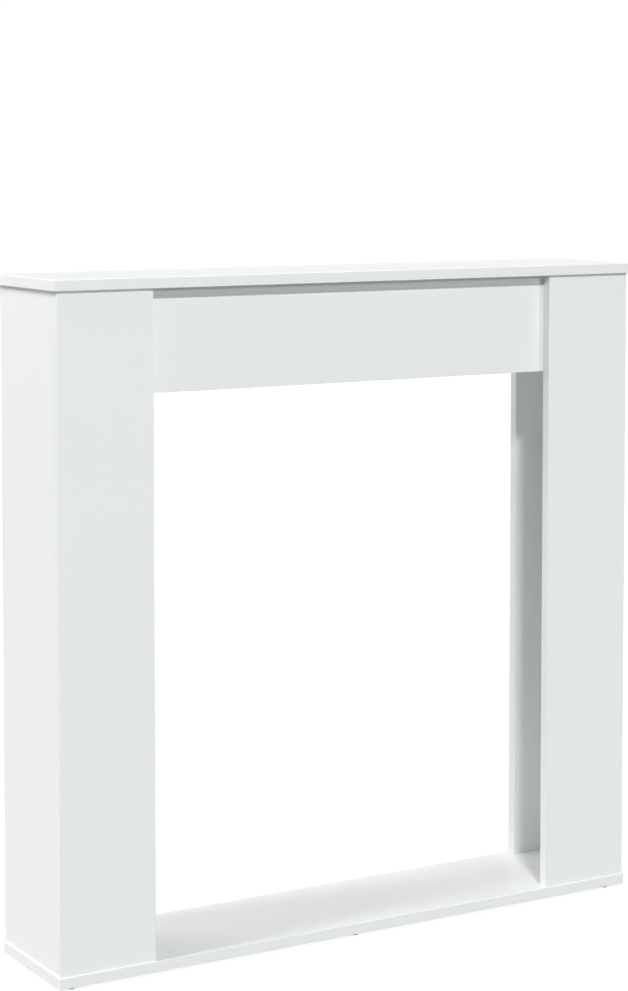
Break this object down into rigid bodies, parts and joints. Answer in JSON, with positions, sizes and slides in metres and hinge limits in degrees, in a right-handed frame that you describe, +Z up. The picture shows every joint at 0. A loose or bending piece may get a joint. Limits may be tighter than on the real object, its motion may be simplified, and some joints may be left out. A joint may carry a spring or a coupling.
{
  "type": "fireplace mantelpiece",
  "caption": "Free-standing fireplace mantelpiece of flat white faced boards: a shelf over hollow columns and a frieze, on a base board with small glides, open at the middle.",
  "frame": {"origin": "on the floor, under the middle of the shelf", "axes": "+Z up, -Y the front, +X to the right as seen from the front"},
  "size_m": [1, 0.2, 1.0065],
  "materials": {
    "faced_board": "white melamine-faced chipboard with edge banding, fine satin texture",
    "glide": "dark moulded plastic, matt"
  },
  "bodies": {
    "root": {"shelf_board": "faced_board", "base_board": "faced_board", "left_front_board": "faced_board", "right_front_board": "faced_board", "left_side_board": "faced_board", "right_side_board": "faced_board", "left_back_board": "faced_board", "right_back_board": "faced_board", "frieze_board": "faced_board", "front_left_glide": "glide", "front_middle_glide": "glide", "front_right_glide": "glide", "back_left_glide": "glide", "back_middle_glide": "glide", "back_right_glide": "glide"}
  },
  "joints": []
}
